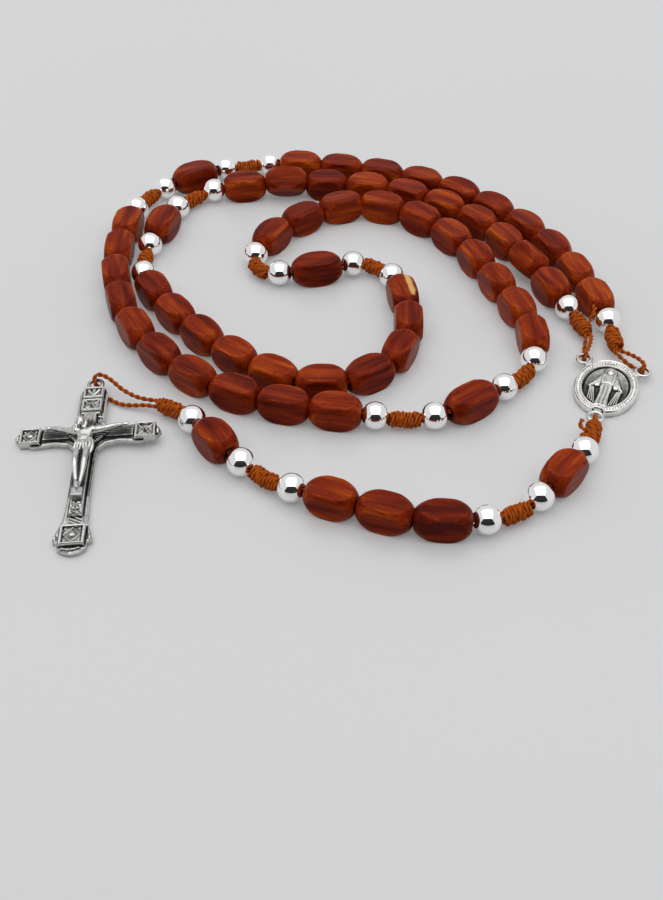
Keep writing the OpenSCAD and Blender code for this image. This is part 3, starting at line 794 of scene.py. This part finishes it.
def cross_height(x, y):
    """Relief of the cross: lit edge line, sunk channel, raised middle and framed ends."""
    edge = outline_distance(x, y, CROSS_OUTLINE)
    floor = 0.95
    z = floor + groove(edge - 0.45, 0.3, 0.14) - 0.3 * (1 - step(0.1, edge, 0.2))
    stem = box_depth(x, y, 0, -9.0, 2.9, 31.4)
    arms = box_depth(x, y, 0, 0, 20.6, 2.3)
    raised = np.maximum(0.9 * step(0, stem, 0.16), 0.45 * step(0, arms, 0.16))
    grain = 0.05 * np.sin(9 * x + 0.8 * np.sin(0.9 * y)) * (stem > 0.5)
    grain = grain + 0.04 * np.sin(9 * y + 0.8 * np.sin(0.9 * x)) * (arms > 0.5) * (stem <= 0.5)
    z = np.maximum(z, floor + raised + grain)
    # pointed burst behind the figure's head and shoulders
    burst = 4.9 - np.abs(x) - np.abs(y)
    turn = np.arctan2(y, x)
    rays = 0.5 + 0.5 * np.cos(32 * turn)
    z = np.where(burst > 0, np.maximum(z, floor + (0.62 + 0.22 * rays) * step(0.1, burst, 0.2)), z)
    panels = [
        (0, 13.5, 4.7, 3.6, "leaf"), (0, 9.3, 4.7, 3.8, "cross"), (-12.7, 0, 4.7, 4.8, "lozenge"),
        (12.7, 0, 4.7, 4.8, "cross"), (0, -30.3, 5.3, 5.4, "lozenge"),
    ]
    for panel in panels:
        depth = box_depth(x, y, *panel[:4])
        z = np.where(depth > 0.1, floor + framed_panel(x, y, *panel), z)
        z = np.where((depth > -0.15) & (depth <= 0.1),
                     np.maximum(z, floor + framed_panel(x, y, *panel)), z)
        z = z - groove(depth + 0.2, 0.12, 0.3)
    z = np.maximum(z, floor + 0.9 * step(0, box_depth(x, y, 0, 6.5, 4.4, 0.8), 0.2))
    for s in (-1, 1):
        for form in (dome(x, y, s * 15.4, 0, 0.45, 1.2, 0.75),
                     rod(x, y, (s * 0.3, -34.2), (s * 1.9, -33.7), 0.26, 0.2, 0.6),
                     rod(x, y, (s * 1.9, 5.6), (s * 2.9, 5.2), 0.3, 0.25, 0.5),
                     dome(x, y, s * 3.55, -30.6, 0.3, 0.8, 0.45)):
            z = np.maximum(z, floor + form)
    z = np.maximum(z, floor + dome(x, y, 0, 15.45, 1.2, 0.26, 0.45))
    # rosette below the foot block, then a band of slanting leaves
    u, v = x, y + 22.5
    r = np.hypot(u, v)
    petals = 0.5 + 0.5 * np.cos(6 * np.arctan2(v, u))
    rosette = (0.22 + 0.26 * petals) * step(-1.2, -r, 0.15) + dome(x, y, 0, -22.5, 0.42, 0.42, 0.3)
    z = z + rosette * (r < 1.25)
    leaves = 0.5 + 0.5 * np.cos((y - 0.55 * np.abs(x - 1.2)) * math.tau / 0.85)
    band = step(-27.3, y, 0.1) * (1 - step(-23.9, y, 0.1)) * step(0, 1.3 - np.abs(x), 0.16)
    return z + band * (0.42 * leaves - 0.25)


def cross_shade(x, y, _):
    """Painted shade on the cross behind the figure's arms and legs, where the figure casts its shadow."""
    behind_arms = step(0, box_depth(x, y, 0, 0.3, 19.8, 4.2), 0.8)
    behind_legs = step(0, box_depth(x, y, 0, -7.5, 4.6, 23), 0.8)
    return 0.17 * np.maximum(behind_arms, behind_legs)


def on_cross(shape):
    """The shape in the cross's place, from a frame centred where its arms meet."""
    rx, ry, rz = (turn_about(k, d) for k, d in zip("xyz", CROSS_TILT))
    axes = rz @ ry @ rx
    return moved(shape, axes, HINGE_AT + axes @ np.array([0, -HINGE_Y, PLATE_BACK]))


def make_cross(material):
    shapes = [relief_plate(CROSS_OUTLINE, cross_height, CROSS_STEP, cross_shade)]
    shapes.append(ring_shape(0, RING_Y, -PLATE_BACK, EAR_R, EAR_WIRE))
    shapes.append(block(*FOOTREST, 0.25))
    make("cross_cast", [on_cross(s) for s in shapes], material, "crucifix",
         ["cross"], CAST_SHARP)


# ---- corpus ----

CORPUS_VOXEL = 0.1


def ball_mesh(cx, cy, cz, rx, ry, rz, turn=(0, 0, 0)):
    ring, rows = 28, 16
    t = np.linspace(0, math.pi, rows)[:, None]
    a = full_turn(ring)[None, :]
    v = np.stack([np.sin(t) * np.cos(a) * rx, np.sin(t) * np.sin(a) * ry,
                  np.cos(t) * rz + 0 * a], axis=-1).reshape(-1, 3)
    faces = lathe_faces(rows, ring, False)
    m = turn_about("z", turn[2]) @ turn_about("y", turn[1]) @ turn_about("x", turn[0])
    return v @ m.T + [cx, cy, cz], faces


def limb_mesh(points):
    """Limb through (x, y, z, radius) points, with round ends."""
    p = np.array(points, float)
    line = evenly(curve(p, 8), 0.12)
    _, side, up = transport(line[:, :3])
    d = unit(line[1, :3] - line[0, :3])
    e = unit(line[-1, :3] - line[-2, :3])
    cap = np.linspace(0, math.pi / 2, 6)
    rows = [(line[0, :3] - d * line[0, 3] * math.cos(c), line[0, 3] * math.sin(c), 0) for c in cap[:-1]]
    rows += [(q[:3], q[3], i) for i, q in enumerate(line)]
    rows += [(line[-1, :3] + e * line[-1, 3] * math.sin(c), line[-1, 3] * math.cos(c), -1)
             for c in cap[1:]]
    a = full_turn(20)
    v = [c + max(r, 1e-3) * (np.cos(a)[:, None] * side[i] + np.sin(a)[:, None] * up[i])
         for c, r, i in rows]
    return np.concatenate(v), lathe_faces(len(rows), 20, False)


def corpus_forms():
    forms = []
    ball = lambda *a: forms.append(ball_mesh(*a))
    limb = lambda *p, s=1: forms.append(limb_mesh([(s * x, *rest) for x, *rest in p]))
    # trunk
    ball(0, -2.3, 3.8, 1.9, 1.45, 1.05)
    ball(0, -4.0, 3.7, 1.5, 1.6, 0.9)
    ball(0, -5.6, 3.7, 1.5, 1.0, 1.0)
    for s in (-1, 1):
        ball(s * 0.8, -2.0, 4.3, 0.85, 0.6, 0.4, (0, 0, s * 12))
        ball(s * 0.8, -3.2, 4.1, 0.6, 0.75, 0.36, (0, 0, s * 20))
    ball(0, -4.3, 4.15, 0.75, 0.9, 0.36)
    # neck, head, hair and beard
    limb((0, -1.3, 4.1, 0.6), (-0.3, -0.8, 4.4, 0.55), (-0.6, -0.3, 4.6, 0.5))
    ball(-0.9, 0.05, 5.3, 0.92, 1.15, 0.96, (20, 0, 20))
    ball(-0.85, 0.65, 4.75, 1.2, 1.1, 1.1, (0, 0, 20))
    limb((-1.65, 0.65, 4.8, 0.46), (-1.82, -0.35, 4.75, 0.46), (-1.6, -1.3, 4.55, 0.3))
    limb((0.05, 0.8, 4.8, 0.46), (0.12, -0.2, 4.7, 0.46), (0.08, -1.1, 4.5, 0.3))
    limb((-1.02, -0.75, 5.65, 0.4), (-1.12, -1.25, 5.45, 0.26))
    ball(-0.97, -0.1, 6.16, 0.17, 0.36, 0.2, (25, 0, 20))
    ball(-0.9, 0.4, 6.0, 0.62, 0.17, 0.16, (0, 0, 20))
    # arms and hands
    for s in (-1, 1):
        limb((1.2, -1.9, 3.95, 0.86), (2.3, -1.5, 3.85, 0.82), (3.6, -1.0, 3.6, 0.72),
             (4.9, -0.45, 3.4, 0.58), (6.0, 0.1, 3.2, 0.62), (7.6, 0.85, 2.85, 0.42), s=s)
        ball(s * 1.8, -1.6, 4.1, 0.95, 0.85, 0.78)
        ball(s * 8.4, 1.15, 2.75, 0.8, 0.54, 0.36, (0, 0, s * 10))
        for k in range(4):
            limb((8.6, 0.92 + 0.16 * k, 2.75, 0.14),
                 (9.4 - 0.06 * abs(k - 1.5), 0.82 + 0.24 * k, 2.82, 0.1), s=s)
    # legs side by side, the right foot over the left
    for s in (-1, 1):
        limb((0.85, -5.6, 3.75, 0.86), (1.0, -7.6, 4.0, 0.82), (1.05, -9.8, 4.3, 0.68),
             (1.02, -11.4, 4.45, 0.62), (0.95, -12.8, 4.1, 0.62), (0.74, -14.6, 3.6, 0.48),
             (0.44, -16.6, 3.15, 0.34), s=s)
        ball(s * 1.02, -11.3, 4.8, 0.42, 0.55, 0.36)
    limb((0.4, -16.6, 3.1, 0.36), (0.2, -17.7, 3.2, 0.4), (0.12, -18.9, 3.35, 0.34))
    limb((-0.4, -16.6, 3.3, 0.36), (-0.14, -17.6, 3.65, 0.42), (0.0, -18.8, 3.8, 0.34))
    # loincloth: a rolled band, hanging folds and a knotted end at the hip
    limb((-1.6, -5.1, 3.7, 0.38), (-0.6, -5.2, 4.55, 0.4), (0.6, -5.1, 4.6, 0.4), (1.6, -4.9, 3.8, 0.4))
    limb((-1.6, -5.7, 3.8, 0.36), (-0.5, -6.0, 4.6, 0.36), (0.7, -5.8, 4.6, 0.36), (1.6, -5.4, 3.8, 0.36))
    ball(0, -6.3, 4.05, 1.7, 1.6, 0.8)
    for k in range(5):
        x0 = -1.3 + 0.58 * k
        limb((x0 * 0.7 + 0.4, -5.3, 4.65, 0.2), (x0, -6.7, 4.86, 0.26), (x0 * 1.15 - 0.1, -8.1, 4.6, 0.16))
    limb((1.6, -4.7, 4.15, 0.5), (2.05, -5.8, 4.05, 0.46), (2.15, -7.2, 3.95, 0.4), (1.95, -8.7, 3.9, 0.2))
    limb((1.35, -5.0, 4.5, 0.38), (1.7, -6.6, 4.5, 0.32), (1.55, -8.2, 4.35, 0.16))
    return forms


def sculpted(forms, voxel, smooth):
    """Joins overlapping forms into one skin. Works in millimetres."""
    mesh = bpy.data.meshes.new("forms")
    verts, faces, start = [], [], 0
    for v, f in forms:
        verts.append(v)
        faces.extend((f + start).tolist())
        start += len(v)
    mesh.from_pydata(np.concatenate(verts).tolist(), [], faces)
    source = new_object("forms", mesh)
    remesh = source.modifiers.new("remesh", "REMESH")
    remesh.mode = "VOXEL"
    remesh.voxel_size = voxel
    soften = source.modifiers.new("soften", "SMOOTH")
    soften.factor = 0.5
    soften.iterations = smooth
    graph = bpy.context.evaluated_depsgraph_get()
    skin = source.evaluated_get(graph).to_mesh()
    n = len(skin.vertices)
    co = np.zeros(n * 3, np.float32)
    skin.vertices.foreach_get("co", co)
    polygons = [tuple(p.vertices) for p in skin.polygons]
    normals = np.zeros(n * 3, np.float32)
    skin.vertices.foreach_get("normal", normals)
    edges = np.zeros(len(skin.edges) * 2, np.int32)
    skin.edges.foreach_get("vertices", edges)
    bpy.data.objects.remove(source)
    v = co.reshape(-1, 3).astype(float)
    return v, polygons, normals.reshape(-1, 3).astype(float), edges.reshape(-1, 2)


def hollow_of(v, normals, edges, passes):
    """How far each point lies below its neighbours' mean, along its normal."""
    mean = v.copy()
    for _ in range(passes):
        total = mean.copy()
        count = np.ones(len(v))
        np.add.at(total, edges[:, 0], mean[edges[:, 1]])
        np.add.at(total, edges[:, 1], mean[edges[:, 0]])
        np.add.at(count, edges[:, 0], 1)
        np.add.at(count, edges[:, 1], 1)
        mean = total / count[:, None]
    return np.sum((mean - v) * normals, axis=1)


def make_corpus(material):
    v, polygons, normals, edges = sculpted(corpus_forms(), CORPUS_VOXEL, 3)
    sunk = hollow_of(v, normals, edges, 14) * 1.9 - 0.04
    quads = np.array([p for p in polygons if len(p) == 4], int).reshape(-1, 4)
    tris = np.array([p for p in polygons if len(p) == 3], int).reshape(-1, 3)
    faces = [f for f in (quads, tris) if len(f)]
    make("corpus_cast", [on_cross((v, faces, {"sunk": sunk}))], material, "crucifix",
         ["corpus"])


# ---- materials ----

class Surface:
    """A material's node tree round its one shader."""

    def __init__(self, name, values):
        self.material = bpy.data.materials.new(name)
        self.material.use_nodes = True
        self.tree = self.material.node_tree
        self.shader = self.tree.nodes["Principled BSDF"]
        for key, value in values.items():
            self.shader.inputs[key].default_value = value

    def put(self, value, socket):
        if hasattr(value, "links"):
            self.tree.links.new(value, socket)
        elif isinstance(value, tuple) and len(value) == 3:
            socket.default_value = (*value, 1)
        else:
            socket.default_value = value

    def feed(self, key, source):
        self.put(source, self.shader.inputs[key])

    def add(self, kind, **settings):
        node = self.tree.nodes.new(kind)
        for key, value in settings.items():
            if key in node.inputs:
                node.inputs[key].default_value = value
            else:
                setattr(node, key, value)
        return node

    def ramp(self, source, stops):
        node = self.add("ShaderNodeValToRGB")
        for i, (place, colour) in enumerate(stops):
            e = node.color_ramp.elements[i] if i < 2 else node.color_ramp.elements.new(place)
            e.position = place
            e.color = (*colour, 1)
        self.put(source, node.inputs["Fac"])
        return node.outputs["Color"]

    def mix(self, factor, a, b, blend="MIX"):
        node = self.add("ShaderNodeMix", data_type="RGBA", blend_type=blend)
        for value, place in ((factor, 0), (a, 6), (b, 7)):
            self.put(value, node.inputs[place])
        return node.outputs[2]

    def calc(self, operation, a, b=0.0, c=0.0):
        node = self.add("ShaderNodeMath", operation=operation)
        for i, value in enumerate((a, b, c)):
            self.put(value, node.inputs[i])
        return node.outputs[0]

    def weighted(self, *terms):
        """Sum of sources, each times its weight."""
        parts = [self.calc("MULTIPLY", source, weight) for source, weight in terms]
        total = parts[0]
        for part in parts[1:]:
            total = self.calc("ADD", total, part)
        return total

    def attribute(self, name, output="Fac"):
        return self.add("ShaderNodeAttribute", attribute_name=name).outputs[output]

    def place(self):
        return self.add("ShaderNodeTexCoord").outputs["Object"]

    def noise(self, vector, scale, detail=4.0, rough=0.55):
        """Noise at a scale, or at one scale for each axis."""
        if isinstance(scale, tuple):
            node = self.add("ShaderNodeVectorMath", operation="MULTIPLY")
            self.put(vector, node.inputs[0])
            node.inputs[1].default_value = scale
            vector, scale = node.outputs[0], 1.0
        node = self.add("ShaderNodeTexNoise", Scale=scale, Detail=detail, Roughness=rough)
        self.put(vector, node.inputs["Vector"])
        return node.outputs["Fac"]

    def bump(self, height, strength, distance):
        node = self.add("ShaderNodeBump", Strength=strength, Distance=distance)
        self.put(height, node.inputs["Height"])
        self.feed("Normal", node.outputs["Normal"])


def wood_material():
    s = Surface("stained_wood", {"Specular IOR Level": 0.06})
    grain = s.attribute("grain", "Vector")
    broad = s.noise(grain, (0.06, 0.42, 0.42), 3.0, 0.5)
    streak = s.noise(grain, (0.16, 1.7, 1.7), 4.0, 0.5)
    pores = s.noise(grain, (0.7, 5.5, 5.5), 3.0, 0.6)
    # lighter long edges: partly wear through the stain, partly a painted highlight
    wear_and_highlight = s.calc("MULTIPLY", s.attribute("edge"), s.calc("SUBTRACT", pores, 0.32))
    level = s.weighted((broad, 0.85), (streak, 0.28), (s.attribute("tone"), 0.04), (wear_and_highlight, 0.6))
    colour = s.ramp(level, [
        (0.36, (0.075, 0.0045, 0.0008)), (0.48, (0.145, 0.0110, 0.0012)),
        (0.58, (0.205, 0.0180, 0.0016)), (0.70, (0.300, 0.0370, 0.0022)),
        (0.88, (0.480, 0.0900, 0.0040)),
    ])
    dark = s.ramp(pores, [(0.34, (0.62, 0.55, 0.5)), (0.44, (1, 1, 1))])
    colour = s.mix(1.0, colour, dark, "MULTIPLY")
    colour = s.mix(s.attribute("pale"), colour, (0.62, 0.36, 0.13))
    # the inside of the bore is coloured near black: painted shade in the hole
    s.feed("Base Color", s.mix(s.attribute("bore"), colour, (0.03, 0.006, 0.003)))
    s.feed("Roughness", s.calc("MULTIPLY_ADD", streak, 0.3, 0.12))
    s.bump(s.weighted((streak, 0.6), (pores, 0.4)), 0.55, 0.0002)
    return s.material


def twine_material():
    s = Surface("twine", {"Roughness": 0.62, "Specular IOR Level": 0.12})
    fibre = s.attribute("fibre", "Vector")
    threads = s.noise(fibre, (1.2, 9.0, 9.0), 4.0, 0.6)
    fuzz = s.noise(fibre, (6.0, 14.0, 14.0), 2.0, 0.6)
    colour = s.ramp(threads, [(0.3, (0.26, 0.038, 0.0012)), (0.7, (0.57, 0.122, 0.0040))])
    valley = s.calc("SUBTRACT", 1.0, s.calc("MULTIPLY", s.attribute("valley"), 1.1))
    shade = s.ramp(valley, [(0.25, (0.28, 0.17, 0.12)), (0.85, (1, 1, 1))])
    s.feed("Base Color", s.mix(1.0, colour, shade, "MULTIPLY"))
    s.bump(s.weighted((threads, 1.0), (fuzz, 0.5)), 0.6, 0.00012)
    return s.material


def silver_material():
    s = Surface("polished_silver", {"Metallic": 1.0})
    haze = s.noise(s.place(), 260.0, 3.0)
    s.feed("Base Color", s.ramp(haze, [(0.3, (0.95, 0.945, 0.925)), (0.7, (0.985, 0.98, 0.965))]))
    s.feed("Roughness", s.calc("MULTIPLY", haze, 0.04))
    return s.material


def antique_material(name, shine, contrast):
    """Cast silver, darkened where it is sunk and rubbed bright on its raised edges; the sunk attribute
    also carries painted shade from the plates' shade functions.
    """
    s = Surface(name, {"Metallic": 1.0})
    place = s.place()
    cloud = s.noise(place, 700.0, 4.0)
    fine = s.noise(place, 4200.0, 3.0)
    level = s.calc("MULTIPLY_ADD", s.attribute("sunk"), contrast, 0.47)
    level = s.calc("ADD", level, s.calc("MULTIPLY_ADD", cloud, 0.3, -0.15))
    level = s.calc("ADD", level, s.calc("MULTIPLY_ADD", fine, 0.1, -0.05))
    grey = lambda v: (v * shine, v * shine * 0.985, v * shine * 0.95)
    s.feed("Base Color", s.ramp(level, [
        (0.30, grey(0.92)), (0.80, grey(0.030)), (0.46, grey(0.62)), (0.56, grey(0.30)),
        (0.66, grey(0.10)),
    ]))
    s.feed("Roughness", s.calc("MINIMUM", s.calc("MULTIPLY_ADD", level, 0.55, 0.03), 0.6))
    s.bump(s.calc("ADD", fine, cloud), 0.35, 0.00006)
    return s.material


def floor_material():
    s = Surface("pale_floor", {
        "Roughness": 0.3, "Specular IOR Level": 0.4, "Emission Color": (1.0, 1.0, 1.0, 1),
        "Emission Strength": 0.14})
    cloud = s.noise(s.place(), 3.0, 2.0)
    s.feed("Base Color", s.ramp(cloud, [(0.3, (0.47, 0.47, 0.473)), (0.7, (0.485, 0.485, 0.487))]))
    return s.material


# ---- floor and lights ----

ROOF_SIZE = (1.15, 1.25)
ROOF_AT = (0.0, -0.05, 0.75)
ROOF_POWER = 4.4
WORLD_STRENGTH = 0.72
FLOOR_REACH = 1.6


def card(name, corners, material):
    """Flat stage piece; only the floor is seen by the camera, the others are for reflections."""
    mesh = bpy.data.meshes.new(name)
    mesh.from_pydata(corners, [], [(0, 1, 2, 3)])
    mesh.materials.append(material)
    obj = new_object(name, mesh)
    obj.visible_camera = name == "floor"


def make_stage():
    card("floor", [(sx * FLOOR_REACH, sy * FLOOR_REACH, 0)
                   for sx, sy in ((-1, -1), (1, -1), (1, 1), (-1, 1))], floor_material())
    material = Surface("dark_opening", {"Base Color": (0.012, 0.011, 0.011, 1),
                                        "Roughness": 0.9}).material
    # the open front of the light tent, and the small fitting in its lit roof
    card("front_opening", [(-0.5, -0.45, 0.0), (0.5, -0.45, 0.0), (0.34, -0.45, 0.5),
                           (-0.34, -0.45, 0.5)], material)
    card("roof_fitting", [(-0.07, -0.02, 0.72), (0.07, -0.01, 0.72), (0.07, 0.05, 0.72),
                          (-0.07, 0.04, 0.72)], material)
    world = bpy.data.worlds.new("studio")
    bpy.context.scene.world = world
    world.use_nodes = True
    background = world.node_tree.nodes["Background"]
    background.inputs["Color"].default_value = (0.975, 0.985, 1.0, 1)
    background.inputs["Strength"].default_value = WORLD_STRENGTH
    data = bpy.data.lights.new("roof", "AREA")
    data.shape = "RECTANGLE"
    data.size, data.size_y = ROOF_SIZE
    data.energy = ROOF_POWER
    new_object("roof", data).location = ROOF_AT
    bpy.context.scene.view_settings.view_transform = "Standard"


# ---- the whole object ----

def make_beads(material):
    rng = np.random.default_rng(59)
    rolls = {(5, 1): math.radians(38), (5, 8): math.radians(-40)}
    pale_bead = (4, 0)
    for n in range(1, 6):
        first = 2 + GROUP * (n - 1)
        shapes = []
        for i in range(10):
            a, b = LOOP_JOINTS[first + i], LOOP_JOINTS[first + i + 1]
            shapes.append(bead_between(a, b, rng, TIGHT, rolls.get((n, i)), (n, i) == pale_bead))
        make(f"wood_decade_{n}", shapes, material, "loop", [f"decade_{n}"],
             WOOD_SHARP)
    singles = [("father_bead", LOOP_JOINTS, places(LOOP_KINDS, "o")),
               ("pendant_bead", PENDANT_JOINTS, places(PENDANT_KINDS, "w"))]
    for kind, joints, spots in singles:
        for n, i in enumerate(spots, start=1):
            node = f"{kind}_{n}"
            fit = TIGHT if node in ("pendant_bead_2", "pendant_bead_3") else FREE
            shape = bead_between(joints[i], joints[i + 1], rng, fit)
            make(f"wood_{node}", [shape], material, node, [node], WOOD_SHARP)


def make_balls(material):
    def balls(name, joints, spots, body, node):
        make(name, [ball_between(joints[i], joints[i + 1]) for i in spots], material, body,
             [node], BALL_SHARP)

    balls("silver_first", LOOP_JOINTS, [1], "loop", "silver_ball_first")
    for n, i in enumerate(places(LOOP_KINDS, "k")[1:-1], start=2):
        balls(f"silver_round_knot_{n}", LOOP_JOINTS, [i - 1, i + 1], "loop", f"silver_pair_{n}")
    balls("silver_last", LOOP_JOINTS, [len(LOOP_KINDS) - 2], "loop", "silver_ball_last")
    bodies = ["foot_link", "link_c", "link_c", "link_b", "link_b", "link_a"]
    for n, (i, body) in enumerate(zip(places(PENDANT_KINDS, "s"), bodies), start=1):
        balls(f"silver_pendant_{n}", PENDANT_JOINTS, [i], body, f"pendant_ball_{n}")


def make_knots(material):
    rng = np.random.default_rng(14)
    loop_bodies, pendant_bodies = ["loop"] * 10, ["foot_link", "link_c", "link_b", "link_a"]
    for kind, joints, kinds, bodies in (("knot", LOOP_JOINTS, LOOP_KINDS, loop_bodies),
                                        ("pendant_knot", PENDANT_JOINTS, PENDANT_KINDS, pendant_bodies)):
        for n, (i, body) in enumerate(zip(places(kinds, "k"), bodies), start=1):
            node = f"{kind}_{n}"
            shapes = knot_shapes(joints[i], joints[i + 1], rng, KNOT_TAILS.get(node, ()))
            make(f"twine_{node}", shapes, material, body, [node])


make_camera()
twine_skin = twine_material()
make_cords(twine_skin)
make_knots(twine_skin)
make_beads(wood_material())
make_balls(silver_material())
make_medal(antique_material("medal_silver", 1.0, 1.5))
cast = antique_material("crucifix_silver", 0.72, 1.3)
make_cross(cast)
make_corpus(cast)
make_stage()
